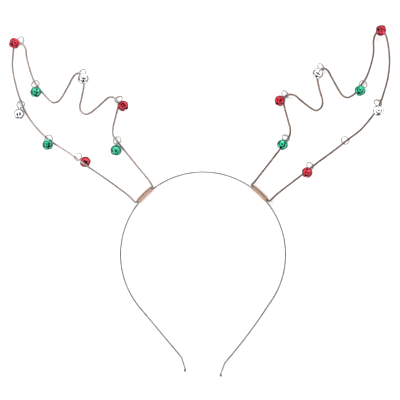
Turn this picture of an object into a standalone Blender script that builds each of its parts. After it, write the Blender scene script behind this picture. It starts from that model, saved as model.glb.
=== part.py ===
"""Reindeer antler headband, lying flat on a table.

A springy metal strip bends round the head. Two antlers, each one closed loop of round
wire, stand against its outer face and are bound to it with copper wire. Jump rings are
threaded on the antlers and carry small hollow jingle bells.

+Y points from the ends of the strip to the antler tips, +X to the taller antler, and +Z
up from the table. The origin is in the middle of the inner face of the strip's crown, so
the table lies half the strip's depth and one turn of binding below it.
"""
import math

import bmesh
import bpy
from mathutils import Matrix, Vector

# Strip that goes round the head
BAND_RADIUS = 0.066
BAND_DEPTH = 0.005
BAND_THICKNESS = 0.001
BAND_EDGE = 0.0002
BAND_STEP_DEG = 7.0
LEFT_ARC_DEG = 130.0
RIGHT_ARC_DEG = 127.0
LEFT_LEG = 0.052
RIGHT_LEG = 0.0587
RIGHT_LEG_BOW = 0.0011
END_LENGTH = 0.0105
LEFT_END_TURN_DEG = 22.5
RIGHT_END_TURN_DEG = 16.5
END_ROLL = 0.0013
END_ROLL_WIDTHS = (0.9, 1.7, 1.7, 1.0)
END_ROLL_SHARES = (1.1, 1.0, 0.3, 0.0)
BOW_SHARES = (0.25, 0.5, 0.75)

# Wires and the room left between two pieces that touch
ANTLER_WIRE = 0.0017
WRAP_WIRE = 0.0005
FIT_GAP = 0.0003
WIRE_SIDES = 5
SMOOTH_DEG = 50.0

# Binding of each antler to the strip
WRAP_LENGTH = 0.0145
WRAP_TURNS = 7
LEFT_SEAT_DEG = 134.2
RIGHT_SEAT_DEG = 46.8

# Antler outlines
LEFT_REACH = 0.1055
LEFT_HEIGHT = 0.122
RIGHT_REACH = 0.104
RIGHT_HEIGHT = 0.131
DROOP_SHARE = 0.25
CORNER_SHARE = 0.45
BEND_STEPS = 2
SEAT_SHARES = (-1.0, -0.6, -0.2, 0.2, 0.6, 1.0)

# Jump rings and bells
RING_RADIUS = 0.0032
RING_WIRE = 0.0007
RING_SLIT = 0.0003
RING_STEPS = 10
BELL_DIAMETER = 0.0088
BELL_WALL = 0.0004
BELL_SLOT = 0.0007
BELL_SLOT_TOP_SHARE = 0.3
BELL_SIDES = 10
BELL_ROWS = 7
HOLLOW_SIDES = 6
HOLLOW_ROWS = 4
LOOP_WIRE = 0.0005
LOOP_SINK = 0.00005
LOOP_STEPS = 8
TURN_STEP_DEG = 3
MOST_TURN_DEG = 90
HIGHEST_PITCH_DEG = 95

UP = Vector((0.0, 0.0, 1.0))
DIAGONAL = math.sqrt(0.5)
END_EASE = END_LENGTH / 8
WIRE_RADIUS = ANTLER_WIRE / 2
RING_WIRE_RADIUS = RING_WIRE / 2
BELL_RADIUS = BELL_DIAMETER / 2
LOOP_RADIUS = RING_WIRE_RADIUS + FIT_GAP + LOOP_WIRE / 2
BELL_DROP = BELL_RADIUS + LOOP_RADIUS - LOOP_SINK
RING_CLEARANCE = WIRE_RADIUS + RING_WIRE_RADIUS + FIT_GAP
RING_PLAY = RING_RADIUS - RING_CLEARANCE
CROWN_INSIDE = (BAND_RADIUS - BAND_THICKNESS / 2) * math.cos(math.radians(BAND_STEP_DEG / 2))
BAND_CENTRE = Vector((0.0, -CROWN_INSIDE, 0.0))
TABLE = -(BAND_DEPTH / 2 + FIT_GAP + WRAP_WIRE)
SEAT_RADIUS = BAND_RADIUS + BAND_THICKNESS / 2 + FIT_GAP + WIRE_RADIUS
SEAT_LENGTH = WRAP_LENGTH + 2 * (WIRE_RADIUS + WRAP_WIRE / 2 + FIT_GAP)
REST_LEVEL = TABLE + RING_WIRE_RADIUS + math.sqrt(RING_CLEARANCE * RING_RADIUS)
LIFTED_LEVEL = TABLE + BELL_DIAMETER + 2 * FIT_GAP + WIRE_RADIUS

# Each antler runs from its outer tip down the branched inner side to the strip, and
# back up the plain outer side. Across is a share of the reach away from the middle of
# the binding, up is a share of the height, and lift is how far the wire has ridden up
# over the bell that lies under it.
LEFT_INNER = (
    # across, up, lift
    (0.980, 0.984, 0), (0.949, 0.994, 0), (0.920, 0.980, 0), (0.898, 0.951, 0),
    (0.892, 0.900, 0), (0.876, 0.846, 0), (0.854, 0.780, 0), (0.823, 0.722, 0),
    (0.768, 0.662, 0), (0.717, 0.614, 0), (0.692, 0.599, 0), (0.658, 0.603, 0),
    (0.627, 0.630, 0), (0.578, 0.703, 0), (0.528, 0.779, 0), (0.499, 0.792, 0),
    (0.468, 0.776, 0), (0.456, 0.741, 0), (0.460, 0.689, 0), (0.479, 0.610, 0),
    (0.488, 0.576, 0), (0.479, 0.542, 0), (0.444, 0.522, 0), (0.411, 0.530, 0),
    (0.319, 0.595, 0), (0.271, 0.631, 0), (0.240, 0.635, 0), (0.211, 0.618, 0),
    (0.196, 0.587, 0), (0.213, 0.517, 0), (0.236, 0.433, 0), (0.235, 0.384, 0),
    (0.206, 0.348, 0), (0.140, 0.276, 0), (0.029, 0.157, 0), (-0.034, 0.091, 0),
    (-0.055, 0.062, 0),
)
LEFT_OUTER = (
    # across, up, lift
    (0.122, -0.009, 0), (0.277, 0.091, 0.25), (0.434, 0.185, 0.97), (0.475, 0.211, 1),
    (0.562, 0.264, 0.65), (0.684, 0.333, 0.1), (0.765, 0.387, 0), (0.849, 0.468, 0),
    (0.899, 0.536, 0), (0.939, 0.613, 0), (0.973, 0.712, 0), (0.995, 0.804, 0),
    (0.999, 0.853, 0), (0.994, 0.918, 0), (0.990, 0.954, 0),
)
RIGHT_INNER = (
    # across, up, lift
    (0.917, 0.990, 0), (0.883, 0.971, 0), (0.867, 0.930, 0), (0.868, 0.875, 0),
    (0.861, 0.827, 0), (0.843, 0.773, 0), (0.813, 0.708, 0), (0.772, 0.658, 0),
    (0.729, 0.611, 0), (0.691, 0.589, 0), (0.667, 0.582, 0), (0.633, 0.592, 0),
    (0.606, 0.619, 0), (0.543, 0.708, 0), (0.512, 0.750, 0), (0.479, 0.760, 0),
    (0.445, 0.739, 0), (0.435, 0.699, 0), (0.451, 0.631, 0), (0.475, 0.559, 0),
    (0.468, 0.526, 0), (0.429, 0.503, 0), (0.390, 0.515, 0), (0.300, 0.570, 0),
    (0.260, 0.596, 0), (0.221, 0.601, 0), (0.189, 0.589, 0), (0.176, 0.559, 0),
    (0.180, 0.529, 0), (0.208, 0.446, 0), (0.227, 0.385, 0), (0.220, 0.348, 0),
    (0.194, 0.316, 0), (0.119, 0.238, 0), (0.023, 0.140, 0), (-0.047, 0.069, 0),
    (-0.069, 0.048, 0),
)
RIGHT_OUTER = (
    # across, up, lift
    (0.113, -0.015, 0), (0.225, 0.055, 0), (0.327, 0.117, 0), (0.440, 0.187, 0),
    (0.563, 0.259, 0), (0.676, 0.329, 0), (0.759, 0.379, 0), (0.821, 0.432, 0),
    (0.883, 0.498, 0), (0.923, 0.558, 0), (0.953, 0.629, 0), (0.976, 0.699, 0),
    (0.989, 0.776, 0), (0.988, 0.849, 0), (0.973, 0.931, 0), (0.954, 0.973, 0),
)

FINISHES = {
    # colour, metallic, roughness
    "steel": ((0.55, 0.54, 0.52), 1.0, 0.28),
    "rose_wire": ((0.42, 0.34, 0.32), 1.0, 0.25),
    "copper": ((0.72, 0.42, 0.30), 1.0, 0.25),
    "silver": ((0.80, 0.80, 0.82), 1.0, 0.18),
    "red": ((0.62, 0.02, 0.06), 1.0, 0.22),
    "green": ((0.03, 0.42, 0.25), 1.0, 0.22),
}


def clear_scene():
    """Remove what the scene holds, and its meshes and materials."""
    for item in list(bpy.data.objects):
        bpy.data.objects.remove(item)
    for store in (bpy.data.meshes, bpy.data.materials):
        for block in list(store):
            store.remove(block)


def make_material(name, colour, metallic, roughness):
    """Return one plain material of the given colour."""
    material = bpy.data.materials.new(name)
    material.use_nodes = True
    shader = material.node_tree.nodes["Principled BSDF"]
    shader.inputs["Base Color"].default_value = (*colour, 1.0)
    shader.inputs["Metallic"].default_value = metallic
    shader.inputs["Roughness"].default_value = roughness
    return material


def add_object(name, mesh, material):
    """Link a mesh to the scene as one named object."""
    item = bpy.data.objects.new(name, mesh)
    bpy.context.scene.collection.objects.link(item)
    if not mesh.materials:
        mesh.materials.append(material)
    return item


def round_outline(radius, sides):
    """Return the corners of a round wire's cross-section."""
    step = math.tau / sides
    return [(radius * math.cos(step * (i + 0.5)), radius * math.sin(step * (i + 0.5)))
            for i in range(sides)]


def strip_outline():
    """Return the corners of the strip's cross-section, its edges eased."""
    half_thick = BAND_THICKNESS / 2
    half_deep = BAND_DEPTH / 2
    corners = []
    for side, level in ((1, -1), (1, 1), (-1, 1), (-1, -1)):
        eased = [(side * (half_thick - BAND_EDGE), level * half_deep),
                 (side * half_thick, level * (half_deep - BAND_EDGE))]
        corners += eased if side == level * -1 else eased[::-1]
    return corners


def tangents(points, closed):
    """Return the direction of travel at each point of a path."""
    count = len(points)
    result = []
    for i in range(count):
        before = points[(i - 1) % count] if closed else points[max(i - 1, 0)]
        after = points[(i + 1) % count] if closed else points[min(i + 1, count - 1)]
        result.append((after - before).normalized())
    return result


def sweep(name, points, ups, outline, closed=False, widths=None):
    """Carry an outline along a path and return the closed mesh it draws.

    Each point has a reference direction in ups. The outline's first number lies
    across it and its second along it. Widths thicken the outline's first number.
    """
    shape = bmesh.new()
    rings = []
    for i, (point, along) in enumerate(zip(points, tangents(points, closed))):
        side = along.cross(ups[i]).normalized()
        top = side.cross(along).normalized()
        width = widths[i] if widths else 1.0
        rings.append([shape.verts.new(point + side * (a * width) + top * b)
                      for a, b in outline])
    pairs = list(zip(rings, rings[1:]))
    if closed:
        pairs.append((rings[-1], rings[0]))
    count = len(outline)
    for first, second in pairs:
        for k in range(count):
            j = (k + 1) % count
            shape.faces.new((first[k], first[j], second[j], second[k]))
    if not closed:
        shape.faces.new(rings[0])
        shape.faces.new(rings[-1])
    return finish_mesh(name, shape)


def finish_mesh(name, shape):
    """Turn a bmesh into a mesh with outward faces and smooth round sides."""
    bmesh.ops.recalc_face_normals(shape, faces=shape.faces)
    mesh = bpy.data.meshes.new(name)
    shape.to_mesh(mesh)
    shape.free()
    mesh.shade_smooth()
    mesh.set_sharp_from_angle(angle=math.radians(SMOOTH_DEG))
    return mesh


def smooth_loop(points, steps):
    """Return a closed smooth curve through the points, with steps on each span."""
    count = len(points)
    curve = []
    for i in range(count):
        a, b, c, d = (points[(i + k) % count] for k in (-1, 0, 1, 2))
        for k in range(steps):
            curve.append(bend_point(a, b, c, d, k / steps))
    return curve


def bend_point(a, b, c, d, share):
    """Return a point between b and c on the centripetal curve through a, b, c and d."""
    ta = 0.0
    tb = ta + math.sqrt((b - a).length)
    tc = tb + math.sqrt((c - b).length)
    td = tc + math.sqrt((d - c).length)
    t = tb + share * (tc - tb)
    ab = a.lerp(b, (t - ta) / (tb - ta))
    bc = b.lerp(c, (t - tb) / (tc - tb))
    cd = c.lerp(d, (t - tc) / (td - tc))
    abc = ab.lerp(bc, (t - ta) / (tc - ta))
    bcd = bc.lerp(cd, (t - tb) / (td - tb))
    return abc.lerp(bcd, (t - tb) / (tc - tb))


def on_band(degrees, radius, height=0.0):
    """Return a point at an angle round the head opening's centre."""
    turn = math.radians(degrees)
    return BAND_CENTRE + Vector((radius * math.cos(turn), radius * math.sin(turn), height))


def band_path():
    """Return the strip's centre line, from its left end round the crown to its right."""
    left_stop = 90.0 + LEFT_ARC_DEG
    right_stop = 90.0 - RIGHT_ARC_DEG
    steps_left = math.ceil((LEFT_ARC_DEG - BAND_STEP_DEG / 2) / BAND_STEP_DEG)
    steps_right = math.ceil((RIGHT_ARC_DEG - BAND_STEP_DEG / 2) / BAND_STEP_DEG)
    arc = [left_stop]
    arc += [90.0 + BAND_STEP_DEG * (i - 0.5) for i in range(steps_left, 0, -1)]
    arc += [90.0 - BAND_STEP_DEG * (i - 0.5) for i in range(1, steps_right + 1)]
    arc.append(right_stop)
    points = [on_band(angle, BAND_RADIUS) for angle in arc]
    left = band_end(points[0], left_stop + 90.0, LEFT_LEG, 0.0, LEFT_END_TURN_DEG)
    right = band_end(points[-1], right_stop - 90.0, RIGHT_LEG, RIGHT_LEG_BOW,
                     -RIGHT_END_TURN_DEG)
    return left[::-1] + points + right


def band_end(start, heading_deg, leg, bow, turn_deg):
    """Return the points of a leg, bowed a little outwards, its last bend and rolled end."""
    heading = math.radians(heading_deg)
    ahead = Vector((math.cos(heading), math.sin(heading), 0.0))
    outward = (start - BAND_CENTRE).normalized()
    turned = Matrix.Rotation(math.radians(-turn_deg), 3, "Z") @ ahead
    knee = start + ahead * leg
    tip = knee + turned * END_LENGTH
    bowed = [start + ahead * (leg * share) + outward * (bow * 4 * share * (1 - share))
             for share in BOW_SHARES]
    rolled = [tip - turned * (END_ROLL * share) for share in END_ROLL_SHARES]
    return bowed + [knee - ahead * END_EASE, knee + turned * END_EASE] + rolled


def band_widths(count):
    """Return how much each section of the strip is thickened, for its rolled ends."""
    roll = list(END_ROLL_WIDTHS)
    return roll + [1.0] * (count - 2 * len(roll)) + roll[::-1]


def make_band(material):
    """Make the strip with its two bent and rolled ends."""
    points = band_path()
    mesh = sweep("head_band", points, [UP] * len(points), strip_outline(),
                 widths=band_widths(len(points)))
    return add_object("head_band", mesh, material)


class Antler:
    """One antler's wire, its seat on the strip and the places of its charms."""

    def __init__(self, name, side, seat_deg, reach, height, inner, outer):
        self.name = name
        self.side = side
        self.seat_deg = seat_deg
        self.reach = reach
        self.height = height
        self.foot = on_band(seat_deg, SEAT_RADIUS)
        waypoints = [self.place(*row) for row in inner]
        waypoints += self.seat()
        waypoints += [self.place(*row) for row in outer]
        self.path = smooth_loop(waypoints, BEND_STEPS)

    def place(self, across, up, lift):
        """Return the point of a table row."""
        droop = min(max(up / DROOP_SHARE, 0.0), 1.0)
        level = REST_LEVEL * droop + lift * (LIFTED_LEVEL - REST_LEVEL)
        return Vector((self.foot.x + self.side * across * self.reach,
                       self.foot.y + up * self.height, level))

    def seat(self):
        """Return the points where the wire lies along the strip, and its outer corner."""
        half = math.degrees(SEAT_LENGTH / 2 / SEAT_RADIUS)
        points = [on_band(self.seat_deg - self.side * half * share, SEAT_RADIUS)
                  for share in SEAT_SHARES]
        along = (points[-1] - points[-2]).normalized()
        outward = (points[-1] - BAND_CENTRE).normalized()
        corner = points[-1] + (along + outward) * (ANTLER_WIRE * CORNER_SHARE)
        return points + [corner]

    def at(self, share):
        """Return the point and level direction of travel at a share of the length."""
        path = self.path + self.path[:1]
        lengths = [(b - a).length for a, b in zip(path, path[1:])]
        left = (share % 1.0) * sum(lengths)
        for a, b, length in zip(path, path[1:], lengths):
            if left <= length:
                break
            left -= length
        flat = Vector((b.x - a.x, b.y - a.y, 0.0)).normalized()
        return a.lerp(b, left / length), flat

    def distance(self, point):
        """Return how far a point is from the wire's centre line."""
        path = self.path + self.path[:1]
        best = math.inf
        for a, b in zip(path, path[1:]):
            run = b - a
            share = min(max((point - a).dot(run) / run.length_squared, 0.0), 1.0)
            best = min(best, (a + run * share - point).length)
        return best

    def build(self, material):
        """Make the antler's wire."""
        mesh = sweep(self.name, self.path, [UP] * len(self.path),
                     round_outline(WIRE_RADIUS, WIRE_SIDES), closed=True)
        return add_object(self.name, mesh, material)


def wrap_section():
    """Return one turn of the binding round the strip and the wire, as (out, up) pairs."""
    clear = FIT_GAP + WRAP_WIRE / 2
    half_thick = BAND_THICKNESS / 2
    top = BAND_DEPTH / 2 + clear
    wire_out = half_thick + FIT_GAP + WIRE_RADIUS
    reach = (WIRE_RADIUS + clear) * DIAGONAL
    return [(-half_thick - clear, -top), (half_thick + clear / 2, -top),
            (wire_out + reach, -reach), (wire_out + WIRE_RADIUS + clear, 0.0),
            (wire_out + reach, reach), (half_thick + clear / 2, top),
            (-half_thick - clear, top), (-half_thick - clear, 0.0)]


def make_wrap(name, seat_deg, material):
    """Make the copper wire wound round the strip and the antler's foot."""
    section = wrap_section()
    count = WRAP_TURNS * len(section) + 1
    points = []
    axes = []
    for i in range(count):
        out, level = section[i % len(section)]
        along = (i / (count - 1) - 0.5) * WRAP_LENGTH
        angle = seat_deg - math.degrees(along / SEAT_RADIUS)
        points.append(on_band(angle, BAND_RADIUS + out, level))
        turn = math.radians(angle)
        axes.append(Vector((math.sin(turn), -math.cos(turn), 0.0)))
    mesh = sweep(name, points, axes, round_outline(WRAP_WIRE / 2, WIRE_SIDES))
    return add_object(name, mesh, material)


class Charm:
    """A jump ring threaded on an antler, and the bell that hangs from it."""

    def __init__(self, antler, at, offset, bearing, lean):
        along = antler.at(at)
        self.antler = antler
        shift = offset * RING_PLAY
        beside = UP.cross(along[1])
        tilt = ring_tilt(abs(shift))
        self.normal = UP * math.cos(tilt) + along[1] * (lean * math.sin(tilt))
        self.centre = along[0] + beside * shift
        for turn in sorted(range(-MOST_TURN_DEG, MOST_TURN_DEG + 1, TURN_STEP_DEG), key=abs):
            self.aim(bearing + turn)
            if self.loop_clears():
                break

    def aim(self, bearing):
        """Set the place on the ring, in plan degrees, where the bell's loop hangs."""
        turn = math.radians(bearing)
        level = Vector((math.cos(turn), math.sin(turn), 0.0))
        rise = -self.normal.dot(level) / self.normal.z
        self.towards = (level + UP * rise).normalized()
        self.link = self.centre + self.towards * RING_RADIUS
        self.tangent = self.normal.cross(self.towards).normalized()

    def loop_clears(self):
        """Return whether the bell's loop stays clear of the antler's wire."""
        wanted = LOOP_WIRE / 2 + WIRE_RADIUS + FIT_GAP
        for i in range(LOOP_STEPS):
            around = self.drop(360.0 * i / LOOP_STEPS) * LOOP_RADIUS
            if self.antler.distance(self.link + around) < wanted:
                return False
        return True

    def drop(self, pitch_deg):
        """Return the bell's hanging direction at a pitch out of the ring's plane."""
        pitch = math.radians(pitch_deg)
        return self.towards * math.cos(pitch) + self.normal * math.sin(pitch)

    def settle(self, least):
        """Return the first hanging direction from a pitch up that clears table and wire."""
        wanted = BELL_RADIUS + WIRE_RADIUS + FIT_GAP
        for pitch in range(least, HIGHEST_PITCH_DEG):
            drop = self.drop(pitch)
            middle = self.link + drop * BELL_DROP
            if middle.z >= TABLE + BELL_RADIUS and self.antler.distance(middle) >= wanted:
                return drop
        return self.drop(HIGHEST_PITCH_DEG)

    def build_ring(self, name, material):
        """Make the split ring, with its slit away from the bell."""
        slit = RING_SLIT / RING_RADIUS
        points = []
        for i in range(RING_STEPS + 1):
            turn = math.pi + slit / 2 + (math.tau - slit) * i / RING_STEPS
            points.append(self.centre + self.towards * (RING_RADIUS * math.cos(turn))
                          + self.tangent * (RING_RADIUS * math.sin(turn)))
        mesh = sweep(name, points, [self.normal] * len(points),
                     round_outline(RING_WIRE_RADIUS, WIRE_SIDES))
        return add_object(name, mesh, material)

    def build_bell(self, name, mesh, least):
        """Place a bell so that its loop is threaded on the ring."""
        drop = self.settle(least)
        item = add_object(name, mesh, None)
        up = -drop
        across = self.tangent.cross(up)
        turn = Matrix((across, self.tangent, up)).transposed()
        item.rotation_euler = turn.to_euler()
        item.location = self.link + drop * BELL_DROP
        return item


def ring_tilt(shift):
    """Return how far a ring must lean so that the wire passes through it.

    The ring's centre is shifted sideways from the wire. The result is the least lean
    at which the ring's wire stays clear of the antler's wire all round.
    """
    part = RING_RADIUS ** 2 + shift ** 2 - RING_CLEARANCE ** 2
    root = math.sqrt(max(part ** 2 - (2 * RING_RADIUS * shift) ** 2, 0.0))
    return math.acos(math.sqrt((part + root) / (2 * RING_RADIUS ** 2)))


def slot_cross():
    """Return the cutter for the two slots that cross at a bell's foot."""
    arm = BELL_DIAMETER
    half = BELL_SLOT / 2
    corners = []
    for quarter in range(4):
        turn = Matrix.Rotation(math.radians(90 * quarter), 3, "Z")
        corners += [turn @ Vector((half, half, 0)), turn @ Vector((half, arm, 0)),
                    turn @ Vector((-half, arm, 0))]
    shape = bmesh.new()
    low = [shape.verts.new((c.x, c.y, -BELL_DIAMETER)) for c in corners]
    high = [shape.verts.new((c.x, c.y, -BELL_RADIUS * BELL_SLOT_TOP_SHARE)) for c in corners]
    shape.faces.new(low)
    shape.faces.new(high)
    for i in range(len(corners)):
        j = (i + 1) % len(corners)
        shape.faces.new((low[i], low[j], high[j], high[i]))
    return finish_mesh("slot_cross", shape)


def bell_mesh(name, material):
    """Return a hollow bell, slotted below and with its hanging loop on top."""
    shape = bmesh.new()
    bmesh.ops.create_uvsphere(shape, u_segments=BELL_SIDES, v_segments=BELL_ROWS,
                              radius=BELL_RADIUS)
    outside = list(shape.faces)
    bmesh.ops.create_uvsphere(shape, u_segments=HOLLOW_SIDES, v_segments=HOLLOW_ROWS,
                              radius=BELL_RADIUS - BELL_WALL)
    inside = [face for face in shape.faces if face not in outside]
    bmesh.ops.reverse_faces(shape, faces=inside)
    shell = bpy.data.meshes.new(name)
    shape.to_mesh(shell)
    shape.free()
    slotted = cut_mesh(shell, slot_cross(), "DIFFERENCE")
    whole = cut_mesh(slotted, loop_mesh(), "UNION")
    whole.name = name
    whole.shade_smooth()
    whole.set_sharp_from_angle(angle=math.radians(SMOOTH_DEG))
    whole.materials.clear()
    whole.materials.append(material)
    return whole


def cut_mesh(mesh, other, operation):
    """Return the mesh joined with or cut by another mesh."""
    item = add_object("worked", mesh, None)
    cutter = add_object("cutter", other, None)
    boolean = item.modifiers.new(operation.lower(), "BOOLEAN")
    boolean.operation = operation
    boolean.solver = "EXACT"
    boolean.object = cutter
    shown = item.evaluated_get(bpy.context.evaluated_depsgraph_get())
    result = bpy.data.meshes.new_from_object(shown)
    bpy.data.objects.remove(item)
    bpy.data.objects.remove(cutter)
    return result


def loop_mesh():
    """Return the loop on top of a bell, whose hole faces along Y."""
    points = []
    for i in range(LOOP_STEPS):
        turn = math.tau * (i + 0.5) / LOOP_STEPS
        points.append(Vector((LOOP_RADIUS * math.sin(turn), 0.0,
                              BELL_DROP + LOOP_RADIUS * math.cos(turn))))
    return sweep("loop", points, [Vector((0, 1, 0))] * LOOP_STEPS,
                 round_outline(LOOP_WIRE / 2, WIRE_SIDES), closed=True)


LEFT_CHARMS = (
    # bell, share of the wire's length, offset, bearing, lean, least pitch
    ("red", 0.010, 1.00, 207, 1, 25),
    ("green", 0.094, -0.20, 279, -1, 20),
    ("silver", 0.222, 1.00, 243, -1, 20),
    ("red", 0.374, 1.00, 306, -1, -10),
    ("green", 0.452, 0.20, 270, -1, -10),
    ("red", 0.738, -1.00, 324, -1, 15),
    ("green", 0.804, -0.20, 234, -1, 80),
    ("silver", 0.886, 0.60, 261, 1, -5),
)
RIGHT_CHARMS = (
    # bell, share of the wire's length, offset, bearing, lean, least pitch
    ("red", 0.997, -1.00, 261, 1, 85),
    ("green", 0.104, 0.60, 162, -1, 20),
    ("silver", 0.216, -1.00, 243, -1, 10),
    ("red", 0.364, -1.00, 234, -1, -15),
    ("green", 0.446, -1.00, 243, -1, 0),
    ("red", 0.690, 1.00, 252, 1, 5),
    (None, 0.768, 0.50, 270, -1, -85),
    ("silver", 0.860, 1.00, 279, 1, 0),
)


def hang_charms(antler, side_name, rows, bells, ring_material):
    """Thread one side's rings on its antler, with a bell on each that has one."""
    for number, (bell, at, offset, bearing, lean, least) in enumerate(rows, start=1):
        charm = Charm(antler, at, offset, bearing, lean)
        charm.build_ring(f"jump_ring_{side_name}_{number}", ring_material)
        if bell:
            charm.build_bell(f"bell_{side_name}_{number}", bells[bell], least)


def main():
    """Build the headband."""
    clear_scene()
    finishes = {name: make_material(name, *look) for name, look in FINISHES.items()}
    make_band(finishes["steel"])
    left = Antler("antler_wire_left", -1, LEFT_SEAT_DEG, LEFT_REACH, LEFT_HEIGHT,
                  LEFT_INNER, LEFT_OUTER)
    right = Antler("antler_wire_right", 1, RIGHT_SEAT_DEG, RIGHT_REACH, RIGHT_HEIGHT,
                   RIGHT_INNER, RIGHT_OUTER)
    left.build(finishes["rose_wire"])
    right.build(finishes["rose_wire"])
    make_wrap("wrap_left", LEFT_SEAT_DEG, finishes["copper"])
    make_wrap("wrap_right", RIGHT_SEAT_DEG, finishes["copper"])
    bells = {name: bell_mesh(f"bell_{name}", finishes[name])
             for name in ("red", "green", "silver")}
    hang_charms(left, "left", LEFT_CHARMS, bells, finishes["silver"])
    hang_charms(right, "right", RIGHT_CHARMS, bells, finishes["silver"])


main()
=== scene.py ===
"""Looks of a reindeer antler headband that lies flat on a pale table.

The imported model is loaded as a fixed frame. Every solid in it is then replaced by a
finely modelled piece in the same place: the spring strip with its curled ends, the two
antlers of drawn wire, their copper bindings, the split rings and the jingle bells.

All sizes are in metres. +Y points from the ends of the strip to the antler tips, +X to
the right antler and +Z up from the table. The origin is in the middle of the inner face
of the strip's crown.
"""

import logging
import math
from dataclasses import dataclass, field
from enum import Enum

import bmesh
import bpy
from mathutils import Matrix, Vector


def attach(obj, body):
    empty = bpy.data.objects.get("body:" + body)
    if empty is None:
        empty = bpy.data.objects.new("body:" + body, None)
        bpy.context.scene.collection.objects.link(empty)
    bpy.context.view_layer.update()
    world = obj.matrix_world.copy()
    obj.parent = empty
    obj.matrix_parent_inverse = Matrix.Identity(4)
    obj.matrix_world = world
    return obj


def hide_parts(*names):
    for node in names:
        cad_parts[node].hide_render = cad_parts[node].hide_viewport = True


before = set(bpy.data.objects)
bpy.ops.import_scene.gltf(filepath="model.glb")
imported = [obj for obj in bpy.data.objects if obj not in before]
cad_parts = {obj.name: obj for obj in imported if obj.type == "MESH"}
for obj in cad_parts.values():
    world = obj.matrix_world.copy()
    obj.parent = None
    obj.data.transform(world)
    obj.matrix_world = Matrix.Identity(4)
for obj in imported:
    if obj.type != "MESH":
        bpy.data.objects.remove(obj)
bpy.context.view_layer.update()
BODY = "root"

log = logging.getLogger("headband")

Colour = tuple[float, float, float]
UP = Vector((0.0, 0.0, 1.0))
STRAIGHT = "straight"
WEAR = "wear"
SHADE = "shade"
STRIP_SMOOTH_DEG = 40.0
WIRE_SMOOTH_DEG = 50.0
BELL_SMOOTH_DEG = 35.0
COAT_ROUGHNESS = 0.04
PATCH_DETAIL = 4.0
PATCH_ROUGHNESS = 0.6
PATCH_SOFTNESS = 0.12
LINE_DETAIL = 3.0
LINE_ROUGHNESS = 0.65
LINE_LEVELS = (0.35, 0.65)
LINE_STRENGTH = 0.6
DRILL_SIDES = 20
CUTTER_OVERSHOOT = 1.2
SEAT_SHARES = (-1.0, -0.6, -0.2, 0.2, 0.6, 1.0)
LEG_STEPS = 16
BEND_STEPS = 6
CURL_STEPS = 22
OUTLINE_STEPS = 72
TURN_STEP_DEG = 3
MOST_TURN_DEG = 90
HIGHEST_PITCH_DEG = 95
LOOP_CHECKS = 8
CHARM_SHIFT = 0.1
SIDE_SHIFT = 0.013

# Strip that goes round the head
BAND_RADIUS = 0.066
BAND_DEPTH = 0.005
BAND_THICKNESS = 0.001
BAND_STEP_DEG = 7.0
CROWN_INSIDE = (BAND_RADIUS - BAND_THICKNESS / 2) * math.cos(math.radians(BAND_STEP_DEG / 2))
BAND_CENTRE = Vector((0.0, -CROWN_INSIDE, 0.0))

# Wires and the room that the solids leave between two pieces that touch
ANTLER_WIRE = 0.0017
BINDING_WIRE = 0.0005
FIT_GAP = 0.0003
WIRE_RADIUS = ANTLER_WIRE / 2
BINDING_LENGTH = 0.0145
SEAT_RADIUS = BAND_RADIUS + BAND_THICKNESS / 2 + FIT_GAP + WIRE_RADIUS
SEAT_LENGTH = BINDING_LENGTH + 2 * (WIRE_RADIUS + BINDING_WIRE / 2 + FIT_GAP)
TABLE = -(BAND_DEPTH / 2 + FIT_GAP + BINDING_WIRE)

# Jump rings and bells
RING_RADIUS = 0.0032
RING_WIRE = 0.0007
RING_WIRE_RADIUS = RING_WIRE / 2
RING_CLEARANCE = WIRE_RADIUS + RING_WIRE_RADIUS + FIT_GAP
BELL_DIAMETER = 0.0088
BELL_RADIUS = BELL_DIAMETER / 2
LOOP_WIRE = 0.0005
LOOP_SINK = 0.00005
LOOP_RADIUS = RING_WIRE_RADIUS + FIT_GAP + LOOP_WIRE / 2
BELL_DROP = BELL_RADIUS + LOOP_RADIUS - LOOP_SINK

# Heights at which the antlers' wire lies
REST_LEVEL = TABLE + RING_WIRE_RADIUS + math.sqrt(RING_CLEARANCE * RING_RADIUS)
LIFTED_LEVEL = TABLE + BELL_DIAMETER + 2 * FIT_GAP + WIRE_RADIUS
DROOP_SHARE = 0.25
CORNER_SHARE = 0.45

# Where each antler is bound, in plan degrees, and how far it reaches out and up
LEFT_SEAT_DEG = 134.2
RIGHT_SEAT_DEG = 46.8
LEFT_REACH = 0.1055
LEFT_HEIGHT = 0.122
RIGHT_REACH = 0.104
RIGHT_HEIGHT = 0.131


class Side(Enum):
    """The two antlers, by the sign of X that they reach towards."""

    LEFT = -1
    RIGHT = 1

    @property
    def word(self) -> str:
        """Return the side's name as node names hold it."""
        return self.name.lower()


class BellColour(Enum):
    """The colours that the bells come in."""

    RED = "red"
    GREEN = "green"
    SILVER = "silver"


class Grain(Enum):
    """The way in which fine lines run over a metal, as noise scales in 1/m."""

    DRAWN = (5200.0, 5200.0, 160.0)
    ROLLED = (2600.0, 9000.0, 55.0)
    POLISHED = (2400.0, 2400.0, 2400.0)


class NodeGraph:
    """A node tree while it is being drawn up."""

    tree: bpy.types.NodeTree

    def node(self, kind: str, links: dict | None = None, **values) -> bpy.types.Node:
        """Add one node.

        Args:
            kind: Blender's type name of the node.
            links: What feeds its inputs, by the inputs' names or numbers.
            values: Properties of the node.

        Returns:
            The new node.
        """
        node = self.tree.nodes.new(kind)
        for key, value in values.items():
            setattr(node, key, value)
        for key, value in (links or {}).items():
            self.feed(node.inputs[key], value)
        return node

    def feed(self, socket: bpy.types.NodeSocket, value: object) -> None:
        """Link a socket to an input, or set the input's own value."""
        if isinstance(value, bpy.types.NodeSocket):
            self.tree.links.new(value, socket)
        else:
            socket.default_value = value


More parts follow.
